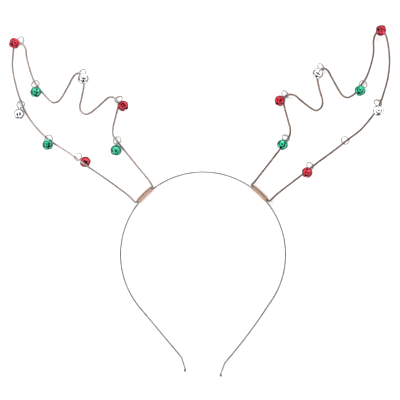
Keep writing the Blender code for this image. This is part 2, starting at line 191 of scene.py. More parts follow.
class ShaderGraph(NodeGraph):
    """A material's node tree."""

    def __init__(self, name: str) -> None:
        """Start a material with a Principled shader.

        Args:
            name: Name of the material.
        """
        self.material = bpy.data.materials.new(name)
        self.material.use_nodes = True
        self.tree = self.material.node_tree
        self.shader = self.tree.nodes["Principled BSDF"]

    def attribute(self, name: str) -> bpy.types.Node:
        """Return a node that reads an attribute of the mesh."""
        return self.node("ShaderNodeAttribute", attribute_name=name)

    def noise(self, place: bpy.types.NodeSocket, scales: Colour, detail: float,
              roughness: float = 0.5) -> bpy.types.NodeSocket:
        """Add a noise whose scale differs along each axis.

        Args:
            place: Coordinates in metres.
            scales: Noise features in 1/m along each axis.
            detail: Number of finer octaves.
            roughness: Weight of the finer octaves.

        Returns:
            The noise's value.
        """
        mapped = self.node("ShaderNodeMapping", {"Vector": place, "Scale": scales})
        noise = self.node("ShaderNodeTexNoise",
                          {"Vector": mapped.outputs["Vector"], "Scale": 1.0,
                           "Detail": detail, "Roughness": roughness})
        return noise.outputs[0]

    def spread(self, value: bpy.types.NodeSocket, low: float, high: float,
               to_low: float, to_high: float) -> bpy.types.NodeSocket:
        """Map a value from one range to another, held at both ends."""
        node = self.node("ShaderNodeMapRange",
                         {"Value": value, "From Min": low, "From Max": high,
                          "To Min": to_low, "To Max": to_high}, clamp=True)
        return node.outputs["Result"]

    def blend(self, share: bpy.types.NodeSocket, first: object,
              second: object) -> bpy.types.NodeSocket:
        """Mix two colours, each a colour or a socket, by a share."""
        node = self.node("ShaderNodeMix", data_type="RGBA")
        for socket, value in zip((node.inputs[0], node.inputs[6], node.inputs[7]),
                                 (share, first, second)):
            if isinstance(value, tuple):
                value = (*value, 1.0)
            self.feed(socket, value)
        return node.outputs[2]


@dataclass(frozen=True)
class MetalFinish:
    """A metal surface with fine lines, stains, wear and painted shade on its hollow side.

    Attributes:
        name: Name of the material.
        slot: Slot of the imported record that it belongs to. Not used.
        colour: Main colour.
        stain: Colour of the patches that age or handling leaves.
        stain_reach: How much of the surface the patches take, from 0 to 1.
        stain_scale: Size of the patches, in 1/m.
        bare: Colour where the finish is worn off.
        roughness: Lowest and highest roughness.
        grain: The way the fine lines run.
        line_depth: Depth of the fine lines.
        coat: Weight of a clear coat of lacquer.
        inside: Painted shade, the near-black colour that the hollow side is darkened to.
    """

    name: str
    slot: str
    colour: Colour
    stain: Colour
    stain_reach: float
    stain_scale: float
    bare: Colour
    roughness: tuple[float, float]
    grain: Grain
    line_depth: float
    coat: float = 0.0
    inside: Colour = (0.05, 0.045, 0.04)

    def material(self) -> bpy.types.Material:
        """Return the material, made once and then shared."""
        if self.name in bpy.data.materials:
            return bpy.data.materials[self.name]
        graph = ShaderGraph(self.name)
        place = graph.attribute(STRAIGHT).outputs["Vector"]
        patches = graph.noise(place, (self.stain_scale,) * 3, PATCH_DETAIL,
                              PATCH_ROUGHNESS)
        edge = 0.75 - 0.5 * self.stain_reach
        stained = graph.spread(patches, edge - PATCH_SOFTNESS, edge + PATCH_SOFTNESS, 0.0, 1.0)
        colour = graph.blend(stained, self.colour, self.stain)
        worn = graph.attribute(WEAR).outputs["Fac"]
        colour = graph.blend(worn, colour, self.bare)
        # Painted shade: the hollow side that the mesh marks is darkened to a near-black colour.
        hollow = graph.attribute(SHADE).outputs["Fac"]
        colour = graph.blend(hollow, colour, self.inside)
        lines = graph.noise(place, self.grain.value, LINE_DETAIL, LINE_ROUGHNESS)
        rough = graph.spread(lines, *LINE_LEVELS, *self.roughness)
        bump = graph.node("ShaderNodeBump", {"Height": lines, "Strength": LINE_STRENGTH,
                                             "Distance": self.line_depth})
        shader = graph.shader
        graph.feed(shader.inputs["Base Color"], colour)
        graph.feed(shader.inputs["Roughness"], rough)
        graph.feed(shader.inputs["Normal"], bump.outputs["Normal"])
        shader.inputs["Metallic"].default_value = 1.0
        shader.inputs["Coat Weight"].default_value = self.coat
        shader.inputs["Coat Roughness"].default_value = COAT_ROUGHNESS
        return graph.material


STEEL = MetalFinish("brushed spring steel", "band_steel", (0.36, 0.34, 0.33),
                    (0.27, 0.25, 0.24), 0.45, 260.0, (0.55, 0.55, 0.53), (0.20, 0.34),
                    Grain.ROLLED, 0.000012)
ROSE_WIRE = MetalFinish("rose grey drawn wire", "antler_wire", (0.30, 0.275, 0.262),
                        (0.30, 0.22, 0.185), 0.40, 150.0, (0.55, 0.49, 0.47), (0.12, 0.24),
                        Grain.DRAWN, 0.000006)
# The right antler's wire: the same rose grey wire as the left's, only darker.
DARK_WIRE = MetalFinish("darker rose grey drawn wire", "antler_wire", (0.205, 0.165, 0.15),
                        (0.20, 0.135, 0.11), 0.45, 150.0, (0.40, 0.34, 0.31), (0.14, 0.26),
                        Grain.DRAWN, 0.000006)
COPPER = MetalFinish("copper craft wire", "binding_copper", (0.58, 0.395, 0.29),
                     (0.43, 0.27, 0.19), 0.40, 420.0, (0.85, 0.66, 0.54), (0.34, 0.50),
                     Grain.DRAWN, 0.000006)
RING_SILVER = MetalFinish("silver plated ring wire", "ring_silver", (0.13, 0.126, 0.12),
                          (0.09, 0.087, 0.083), 0.40, 400.0, (0.45, 0.44, 0.43),
                          (0.28, 0.40), Grain.DRAWN, 0.000004)
BELLS = {
    BellColour.RED: MetalFinish("red bell lacquer", "bell_red", (0.37, 0.006, 0.026),
                                (0.28, 0.003, 0.014), 0.50, 520.0, (0.62, 0.20, 0.22),
                                (0.07, 0.14), Grain.POLISHED, 0.000003, coat=0.4),
    BellColour.GREEN: MetalFinish("green bell lacquer", "bell_green", (0.008, 0.275, 0.155),
                                  (0.005, 0.19, 0.105), 0.50, 520.0, (0.22, 0.52, 0.40),
                                  (0.07, 0.14), Grain.POLISHED, 0.000003, coat=0.4),
    BellColour.SILVER: MetalFinish("silver bell plate", "bell_silver", (0.66, 0.66, 0.68),
                                   (0.55, 0.55, 0.57), 0.45, 520.0, (0.86, 0.84, 0.80),
                                   (0.05, 0.12), Grain.POLISHED, 0.000003, coat=0.2),
}


class ShapeTree(NodeGraph):
    """A Geometry Nodes tree with named inputs."""

    def __init__(self, name: str) -> None:
        """Start a tree that takes and returns geometry.

        Args:
            name: Name of the tree.
        """
        self.tree = bpy.data.node_groups.new(name, "GeometryNodeTree")
        face = self.tree.interface
        face.new_socket("Geometry", in_out="INPUT", socket_type="NodeSocketGeometry")
        face.new_socket("Geometry", in_out="OUTPUT", socket_type="NodeSocketGeometry")
        self.source = self.tree.nodes.new("NodeGroupInput")
        self.sink = self.tree.nodes.new("NodeGroupOutput")

    def ask(self, name: str, kind: str = "Float") -> bpy.types.NodeSocket:
        """Add a named input and return the socket that carries it."""
        self.tree.interface.new_socket(name, in_out="INPUT",
                                       socket_type=f"NodeSocket{kind}")
        return self.source.outputs[name]

    @property
    def geometry(self) -> bpy.types.NodeSocket:
        """Return the geometry that comes in."""
        return self.source.outputs["Geometry"]

    def maths(self, operation: str, first: object, second: object) -> bpy.types.NodeSocket:
        """Return the result of one sum."""
        return self.node("ShaderNodeMath", {0: first, 1: second},
                         operation=operation).outputs[0]

    def vector(self, x: object, y: object, z: object) -> bpy.types.NodeSocket:
        """Return a vector from its three parts."""
        return self.node("ShaderNodeCombineXYZ", {0: x, 1: y, 2: z}).outputs[0]

    def circle(self) -> bpy.types.NodeSocket:
        """Return the round outline of a wire, with its sides and radius as inputs."""
        circle = self.node("GeometryNodeCurvePrimitiveCircle",
                           {"Resolution": self.ask("Sides", "Int"),
                            "Radius": self.ask("Wire Radius")}, mode="RADIUS")
        return circle.outputs["Curve"]

    def capture(self, geometry: bpy.types.NodeSocket, name: str, kind: str,
                value: bpy.types.NodeSocket) -> tuple[bpy.types.NodeSocket,
                                                      bpy.types.NodeSocket]:
        """Store a value on the points of a geometry.

        Args:
            geometry: The geometry.
            name: Name of what is stored.
            kind: FLOAT or VECTOR.
            value: The value.

        Returns:
            The geometry, and the stored value.
        """
        node = self.node("GeometryNodeCaptureAttribute", domain="POINT")
        node.capture_items.new(kind, name)
        self.tree.links.new(geometry, node.inputs["Geometry"])
        self.tree.links.new(value, node.inputs[name])
        return node.outputs["Geometry"], node.outputs[name]

    def finish(self, geometry: bpy.types.NodeSocket) -> bpy.types.GeometryNodeTree:
        """End the tree with its material and real geometry.

        Args:
            geometry: The finished shape.

        Returns:
            The tree.
        """
        material = self.ask("Material", "Material")
        painted = self.node("GeometryNodeSetMaterial",
                            {"Geometry": geometry, "Material": material})
        real = self.node("GeometryNodeRealizeInstances",
                         {"Geometry": painted.outputs["Geometry"]})
        self.tree.links.new(real.outputs["Geometry"], self.sink.inputs["Geometry"])
        return self.tree


def sweep_tree(shape: ShapeTree, curve: bpy.types.NodeSocket,
               profile: bpy.types.NodeSocket) -> bpy.types.GeometryNodeTree:
    """Finish a tree that carries a profile along a curve.

    The swept surface keeps where each point would lie if the path were straight, so that
    grain and stains follow the path.

    Args:
        shape: The tree under construction.
        curve: The path.
        profile: The closed outline.

    Returns:
        The finished tree.
    """
    spline = shape.node("GeometryNodeSplineParameter")
    curve, length = shape.capture(curve, "Along", "FLOAT", spline.outputs["Length"])
    corner = shape.node("GeometryNodeInputPosition")
    profile, section = shape.capture(profile, "Section", "VECTOR",
                                     corner.outputs["Position"])
    swept = shape.node("GeometryNodeCurveToMesh",
                       {"Curve": curve, "Profile Curve": profile, "Fill Caps": True})
    parts = shape.node("ShaderNodeSeparateXYZ", {0: section})
    straight = shape.vector(parts.outputs[0], parts.outputs[1], length)
    kept = shape.node("GeometryNodeStoreNamedAttribute",
                      {"Geometry": swept.outputs["Mesh"], "Name": STRAIGHT,
                       "Value": straight},
                      data_type="FLOAT_VECTOR", domain="POINT")
    return shape.finish(kept.outputs["Geometry"])


def round_wire_tree() -> bpy.types.GeometryNodeTree:
    """Return the tree that draws a round wire along a curve."""
    shape = ShapeTree("round wire")
    return sweep_tree(shape, shape.geometry, shape.circle())


def flat_strip_tree() -> bpy.types.GeometryNodeTree:
    """Return the tree that draws a flat strip with eased edges along a curve."""
    shape = ShapeTree("flat strip")
    outline = shape.node("GeometryNodeCurvePrimitiveQuadrilateral",
                         {"Width": shape.ask("Thickness"), "Height": shape.ask("Depth")})
    eased = shape.node("GeometryNodeFilletCurve",
                       {"Curve": outline.outputs["Curve"], "Count": shape.ask("Steps", "Int"),
                        "Radius": shape.ask("Edge Radius")}, mode="POLY")
    return sweep_tree(shape, shape.geometry, eased.outputs["Curve"])


def split_ring_tree() -> bpy.types.GeometryNodeTree:
    """Return the tree that draws a wire ring with a slit on its -X side."""
    shape = ShapeTree("split ring")
    slit = shape.ask("Slit Angle")
    start = shape.maths("ADD", shape.maths("MULTIPLY", slit, 0.5), math.pi)
    swept = shape.maths("SUBTRACT", math.tau, slit)
    arc = shape.node("GeometryNodeCurveArc",
                     {"Resolution": shape.ask("Steps", "Int"),
                      "Radius": shape.ask("Ring Radius"), "Start Angle": start,
                      "Sweep Angle": swept}, mode="RADIUS")
    return sweep_tree(shape, arc.outputs["Curve"], shape.circle())


def slotted_bell_tree() -> bpy.types.GeometryNodeTree:
    """Return the tree that cuts slots with round ends into the foot of a bell's shell."""
    shape = ShapeTree("slotted bell")
    radius = shape.ask("Bell Radius")
    width = shape.ask("Slot Width")
    top = shape.ask("Slot Top")
    hole = shape.ask("Hole Radius")
    lean = shape.ask("Hole Lean")
    count = shape.ask("Slots", "Int")
    star = shape.ask("Star Radius")

    maths, vector = shape.maths, shape.vector

    def moved(part: bpy.types.NodeSocket, **change: object) -> bpy.types.NodeSocket:
        """Return a part after a translation or rotation."""
        return shape.node("GeometryNodeTransform", {"Geometry": part, **change}).outputs[0]

    def drum(sides: object, size: bpy.types.NodeSocket) -> bpy.types.NodeSocket:
        """Return a round or cornered cutter that stands in the foot of the bell."""
        drum = shape.node("GeometryNodeMeshCylinder",
                          {"Vertices": sides, "Radius": size, "Depth": radius},
                          fill_type="NGON")
        return moved(drum.outputs["Mesh"],
                     Translation=vector(0.0, 0.0, maths("MULTIPLY", radius, -1.0)))

    reach = maths("MULTIPLY", radius, CUTTER_OVERSHOOT)
    height = maths("ADD", reach, top)
    slot = shape.node("GeometryNodeMeshCube", {"Size": vector(reach, width, height)})
    slot_middle = vector(maths("MULTIPLY", reach, 0.5), 0.0,
                         maths("SUBTRACT", maths("MULTIPLY", height, 0.5), reach))
    slot = moved(slot.outputs["Mesh"], Translation=slot_middle)
    drill = moved(drum(DRILL_SIDES, hole),
                  Rotation=vector(0.0, maths("MULTIPLY", lean, -1.0), 0.0))
    cutter = shape.node("GeometryNodeJoinGeometry")
    for part in (drill, slot, drum(count, star)):
        shape.tree.links.new(part, cutter.inputs["Geometry"])
    hub = shape.node("GeometryNodeMeshLine", {"Count": count, "Offset": (0.0, 0.0, 0.0)})
    turn = maths("DIVIDE", math.tau, count)
    index = shape.node("GeometryNodeInputIndex").outputs["Index"]
    spin = vector(0.0, 0.0, maths("MULTIPLY", index, turn))
    around = shape.node("GeometryNodeInstanceOnPoints",
                        {"Points": hub.outputs["Mesh"],
                         "Instance": cutter.outputs["Geometry"], "Rotation": spin})
    cross = shape.node("GeometryNodeRealizeInstances",
                       {"Geometry": around.outputs["Instances"]})
    cut = shape.node("GeometryNodeMeshBoolean", {"Self Intersection": True},
                     operation="DIFFERENCE", solver="EXACT")
    shape.tree.links.new(shape.geometry, cut.inputs["Mesh 1"])
    shape.tree.links.new(cross.outputs["Geometry"], cut.inputs["Mesh 2"])
    return shape.finish(cut.outputs["Mesh"])


def add_object(name: str, data: bpy.types.ID) -> bpy.types.Object:
    """Add an object with this data to the scene and return it."""
    item = bpy.data.objects.new(name, data)
    bpy.context.scene.collection.objects.link(item)
    return item


def run_tree(tree: bpy.types.GeometryNodeTree, data: bpy.types.ID,
             sizes: dict[str, object]) -> bpy.types.Mesh:
    """Run a tree once and return what it makes as a plain mesh.

    Args:
        tree: The Geometry Nodes tree.
        data: The mesh or curve that it works on.
        sizes: Values of the tree's named inputs.

    Returns:
        The new mesh.
    """
    bench = add_object("bench", data)
    modifier = bench.modifiers.new("shape", "NODES")
    modifier.node_group = tree
    names = {item.name: item.identifier for item in tree.interface.items_tree
             if item.in_out == "INPUT"}
    for name, value in sizes.items():
        modifier[names[name]] = value
    shown = bench.evaluated_get(bpy.context.evaluated_depsgraph_get())
    mesh = bpy.data.meshes.new_from_object(shown)
    bpy.data.objects.remove(bench)
    return mesh


def path_curve(points: list[Vector], closed: bool, upright: bool) -> bpy.types.Curve:
    """Return a curve through the points.

    Args:
        points: The path.
        closed: Whether the last point joins the first.
        upright: Whether the profile stays level as the path turns.

    Returns:
        The curve's data.
    """
    curve = bpy.data.curves.new("path", "CURVE")
    curve.dimensions = "3D"
    curve.twist_mode = "Z_UP" if upright else "MINIMUM"
    spline = curve.splines.new("POLY")
    spline.points.add(len(points) - 1)
    for point, place in zip(spline.points, points):
        point.co = (*place, 1.0)
    spline.use_cyclic_u = closed
    return curve


def add_piece(name: str, mesh: bpy.types.Mesh, finish: MetalFinish,
              *nodes: str) -> bpy.types.Object:
    """Put a finished mesh into the scene in place of the frame's nodes.

    Args:
        name: Name of the piece.
        mesh: Its mesh, in the frame's own place.
        finish: Its finish.
        nodes: Nodes of the frame that it stands for.

    Returns:
        The new object.
    """
    mesh.name = name
    mesh.materials.clear()
    mesh.materials.append(finish.material())
    piece = add_object(name, mesh)
    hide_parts(*nodes)
    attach(piece, BODY)
    log.info("%s: %d faces", name, len(mesh.polygons))
    return piece


def write_values(mesh: bpy.types.Mesh, name: str, values: list[float]) -> None:
    """Store one number for each vertex, under the attribute's name."""
    mesh.attributes.new(name, "FLOAT", "POINT").data.foreach_set("value", values)


def shift_straight(mesh: bpy.types.Mesh, offset: float) -> None:
    """Move a mesh's straightened coordinates, so that no two pieces share a pattern."""
    for item in mesh.attributes[STRAIGHT].data:
        item.vector = Vector(item.vector) + Vector((offset, offset, offset))


def smooth_by_angle(mesh: bpy.types.Mesh, degrees: float) -> None:
    """Shade a mesh smooth, except across edges sharper than an angle."""
    mesh.shade_smooth()
    mesh.set_sharp_from_angle(angle=math.radians(degrees))


def bend_point(a: Vector, b: Vector, c: Vector, d: Vector, share: float) -> Vector:
    """Return a point between b and c on the centripetal curve through four points."""
    ta = 0.0
    tb = ta + math.sqrt((b - a).length)
    tc = tb + math.sqrt((c - b).length)
    td = tc + math.sqrt((d - c).length)
    t = tb + share * (tc - tb)
    ab = a.lerp(b, (t - ta) / (tb - ta))
    bc = b.lerp(c, (t - tb) / (tc - tb))
    cd = c.lerp(d, (t - tc) / (td - tc))
    abc = ab.lerp(bc, (t - ta) / (tc - ta))
    bcd = bc.lerp(cd, (t - tb) / (td - tb))
    return abc.lerp(bcd, (t - tb) / (tc - tb))


def smooth_loop(points: list[Vector], steps: int) -> list[Vector]:
    """Return a closed smooth curve through the points.

    Args:
        points: The points, in order.
        steps: Number of steps on each span.

    Returns:
        The curve's points.
    """
    count = len(points)
    curve = []
    for i in range(count):
        a, b, c, d = (points[(i + k) % count] for k in (-1, 0, 1, 2))
        curve += [bend_point(a, b, c, d, k / steps) for k in range(steps)]
    return curve


def walk(path: list[Vector], lengths: list[float],
         distance: float) -> tuple[Vector, Vector, float]:
    """Return the span that a distance along a path falls in, and the share of it.

    Args:
        path: The path's points.
        lengths: Lengths of its spans.
        distance: How far along it.

    Returns:
        Both ends of the span, and the share of it that is left behind.
    """
    for a, b, length in zip(path, path[1:], lengths):
        if distance <= length:
            return a, b, distance / length if length else 0.0
        distance -= length
    return path[-2], path[-1], 1.0


def on_band(degrees: float, radius: float, height: float = 0.0) -> Vector:
    """Return a point at an angle round the head opening's centre."""
    turn = math.radians(degrees)
    return BAND_CENTRE + Vector((radius * math.cos(turn), radius * math.sin(turn), height))


@dataclass
class Strip:
    """The spring strip round the head, with its bent and curled ends."""

    left_arc_deg: float = 130.0
    right_arc_deg: float = 127.0
    left_leg: float = 0.052
    right_leg: float = 0.0587
    right_bow: float = 0.0011
    end_length: float = 0.0105
    left_turn_deg: float = 22.5
    right_turn_deg: float = 16.5
    curl_radius: float = 0.00055
    curl_deg: float = 300.0
    bend_radius: float = 0.004
    edge_radius: float = 0.0002
    arc_step_deg: float = 1.5

    def arc(self) -> list[Vector]:
        """Return the round stretch, from the left leg over the crown to the right."""
        first = 90.0 + self.left_arc_deg
        whole = self.left_arc_deg + self.right_arc_deg
        count = round(whole / self.arc_step_deg)
        return [on_band(first - whole * i / count, BAND_RADIUS) for i in range(count + 1)]

    def leg(self, start: Vector, heading_deg: float, length: float, bow: float,
            turn_deg: float) -> list[Vector]:
        """Return one leg with its last bend and its curl.

        Args:
            start: Where the leg leaves the round stretch.
            heading_deg: Direction of the leg.
            length: Length up to the bend.
            bow: How far its middle stands out.
            turn_deg: How far the end turns outwards, clockwise.

        Returns:
            The leg's points, without the start.
        """
        heading = math.radians(heading_deg)
        ahead = Vector((math.cos(heading), math.sin(heading), 0.0))
        outward = (start - BAND_CENTRE).normalized()
        straight = length - self.bend_radius * math.tan(math.radians(abs(turn_deg)) / 2)
        points = []
        for i in range(1, LEG_STEPS + 1):
            run = straight * i / LEG_STEPS
            share = run / length
            points.append(start + ahead * run + outward * (bow * 4 * share * (1 - share)))
        knee = start + ahead * straight
        points += self.turned(knee, ahead, -turn_deg, self.bend_radius, BEND_STEPS)
        along = Matrix.Rotation(math.radians(-turn_deg), 3, "Z") @ ahead
        tip = points[-1] + along * (self.end_length - self.curl_radius)
        points.append(tip)
        way = math.copysign(self.curl_deg, outward.cross(along).z)
        points += self.turned(tip, along, -way, self.curl_radius, CURL_STEPS)
        return points

    @staticmethod
    def turned(start: Vector, ahead: Vector, degrees: float, radius: float,
               steps: int) -> list[Vector]:
        """Return the points of a round bend.

        Args:
            start: Where the bend starts.
            ahead: Direction of travel there.
            degrees: How far it turns, anticlockwise.
            radius: Radius of the bend.
            steps: Number of points.

        Returns:
            The points, without the start.
        """
        side = UP.cross(ahead) * math.copysign(1.0, degrees)
        middle = start + side * radius
        return [middle - Matrix.Rotation(math.radians(degrees * i / steps), 3, "Z") @ side
                * radius for i in range(1, steps + 1)]

    def path(self) -> list[Vector]:
        """Return the strip's whole centre line."""
        arc = self.arc()
        left = self.leg(arc[0], 180.0 + self.left_arc_deg, self.left_leg, 0.0,
                        self.left_turn_deg)
        right = self.leg(arc[-1], -self.right_arc_deg, self.right_leg, self.right_bow,
                         -self.right_turn_deg)
        return left[::-1] + arc + right

    def build(self) -> None:
        """Make the strip."""
        sizes = {"Thickness": BAND_THICKNESS, "Depth": BAND_DEPTH, "Steps": 3,
                 "Edge Radius": self.edge_radius}
        mesh = run_tree(flat_strip_tree(), path_curve(self.path(), False, True), sizes)
        smooth_by_angle(mesh, STRIP_SMOOTH_DEG)
        add_piece("spring_strip", mesh, STEEL, "head_band")


@dataclass
class Antler:
    """One antler: a closed loop of drawn wire, seated along the strip."""

    side: Side
    finish: MetalFinish
    seat_deg: float
    reach: float
    height: float
    inner: tuple[tuple[float, ...], ...]
    outer: tuple[tuple[float, ...], ...]
    chord_steps: int = 2
    wire_steps: int = 9
    wire_sides: int = 16
    foot: Vector = field(init=False)
    waypoints: list[Vector] = field(init=False)
    chords: list[Vector] = field(init=False)

    def __post_init__(self) -> None:
        """Work out where the wire runs."""
        self.foot = on_band(self.seat_deg, SEAT_RADIUS)
        self.waypoints = [self.place(*row) for row in self.inner] + self.seat()
        self.waypoints += [self.place(*row) for row in self.outer]
        self.chords = smooth_loop(self.waypoints, self.chord_steps)

    def place(self, across: float, up: float, lift: float = 0.0) -> Vector:
        """Return the point of a table row."""
        across, up = across / 1000, up / 1000
        droop = min(max(up / DROOP_SHARE, 0.0), 1.0)
        level = REST_LEVEL * droop + lift * (LIFTED_LEVEL - REST_LEVEL)
        return Vector((self.foot.x + self.side.value * across * self.reach,
                       self.foot.y + up * self.height, level))

    def seat(self) -> list[Vector]:
        """Return the points along the strip, and the outer corner after them."""
        half = math.degrees(SEAT_LENGTH / 2 / SEAT_RADIUS)
        points = [on_band(self.seat_deg - self.side.value * half * share, SEAT_RADIUS)
                  for share in SEAT_SHARES]
        along = (points[-1] - points[-2]).normalized()
        outward = (points[-1] - BAND_CENTRE).normalized()
        return points + [points[-1] + (along + outward) * (ANTLER_WIRE * CORNER_SHARE)]

    def at(self, share: float) -> tuple[Vector, Vector]:
        """Return the point and the level direction of travel at a share of the length."""
        path = self.chords + self.chords[:1]
        lengths = [(b - a).length for a, b in zip(path, path[1:])]
        a, b, part = walk(path, lengths, (share % 1.0) * sum(lengths))
        return a.lerp(b, part), Vector((b.x - a.x, b.y - a.y, 0.0)).normalized()

    def distance(self, point: Vector) -> float:
        """Return how far a point is from the wire's centre line."""
        path = self.chords + self.chords[:1]
        best = math.inf
        for a, b in zip(path, path[1:]):
            run = b - a
            share = min(max((point - a).dot(run) / run.length_squared, 0.0), 1.0)
            best = min(best, (a + run * share - point).length)
        return best

    def build(self, tree: bpy.types.GeometryNodeTree) -> None:
        """Make the antler's wire, whose ends meet under the binding.

        Args:
            tree: The round wire's tree.
        """
        path = smooth_loop(self.waypoints, self.wire_steps)
        start = (len(self.inner) + len(SEAT_SHARES) // 2) * self.wire_steps
        path = path[start:] + path[:start]
        sizes = {"Sides": self.wire_sides, "Wire Radius": WIRE_RADIUS}
        mesh = run_tree(tree, path_curve(path, True, True), sizes)
        mesh.shade_smooth()
        add_piece(f"antler_{self.side.word}", mesh, self.finish,
                  f"antler_wire_{self.side.word}")


@dataclass
class Binding:
    """Copper wire wound round the strip and the antler's seat."""

    antler: Antler
    turns: int = 21
    wire_radius: float = BINDING_WIRE / 2
    steps: int = 40
    wire_sides: int = 10

    def outline(self) -> list[tuple[float, float]]:
        """Return one turn's tight outline round strip and wire, as (out, up) pairs."""
        half_thick = BAND_THICKNESS / 2 + FIT_GAP / 3
        half_deep = BAND_DEPTH / 2 + FIT_GAP / 3
        corners = [(x, y, self.wire_radius) for x in (-half_thick, half_thick)
                   for y in (-half_deep, half_deep)]
        corners.append((SEAT_RADIUS - BAND_RADIUS, 0.0, WIRE_RADIUS + self.wire_radius))
        points = []
        for i in range(OUTLINE_STEPS):
            turn = math.tau * i / OUTLINE_STEPS
            out, up = math.cos(turn), math.sin(turn)
            x, y, radius = max(corners, key=lambda c: c[0] * out + c[1] * up + c[2])
            points.append((x + radius * out, y + radius * up))
        return points

    def even_outline(self) -> list[tuple[float, float]]:
        """Return the same outline with its points evenly spaced."""
        points = [Vector(p) for p in self.outline()]
        points.append(points[0])
        lengths = [(b - a).length for a, b in zip(points, points[1:])]
        spans = (walk(points, lengths, sum(lengths) * i / self.steps)
                 for i in range(self.steps))
        return [tuple(a.lerp(b, part)) for a, b, part in spans]

    def path(self) -> list[Vector]:
        """Return the wound wire's centre line."""
        outline = self.even_outline()
        count = self.turns * self.steps + 1
        points = []
        for i in range(count):
            out, up = outline[i % self.steps]
            along = (i / (count - 1) - 0.5) * BINDING_LENGTH
            angle = self.antler.seat_deg - math.degrees(along / SEAT_RADIUS)
            points.append(on_band(angle, BAND_RADIUS + out, up))
        return points

    def build(self, tree: bpy.types.GeometryNodeTree) -> None:
        """Make the binding.

        Args:
            tree: The round wire's tree.
        """
        sizes = {"Sides": self.wire_sides, "Wire Radius": self.wire_radius}
        mesh = run_tree(tree, path_curve(self.path(), False, False), sizes)
        smooth_by_angle(mesh, WIRE_SMOOTH_DEG)
        word = self.antler.side.word
        add_piece(f"binding_{word}", mesh, COPPER, f"wrap_{word}")


@dataclass
class SplitRing:
    """A jump ring of silver wire, made once and copied for every charm."""

    slit: float = 0.0003
    steps: int = 56
    sides: int = 12
    mesh: bpy.types.Mesh = field(init=False)

    def __post_init__(self) -> None:
        """Make the ring's mesh round the origin, its slit on the -X side."""
        sizes = {"Slit Angle": self.slit / RING_RADIUS, "Steps": self.steps,
                 "Ring Radius": RING_RADIUS, "Sides": self.sides,
                 "Wire Radius": RING_WIRE_RADIUS}
        self.mesh = run_tree(split_ring_tree(), bpy.data.meshes.new("bench"), sizes)
        smooth_by_angle(self.mesh, WIRE_SMOOTH_DEG)


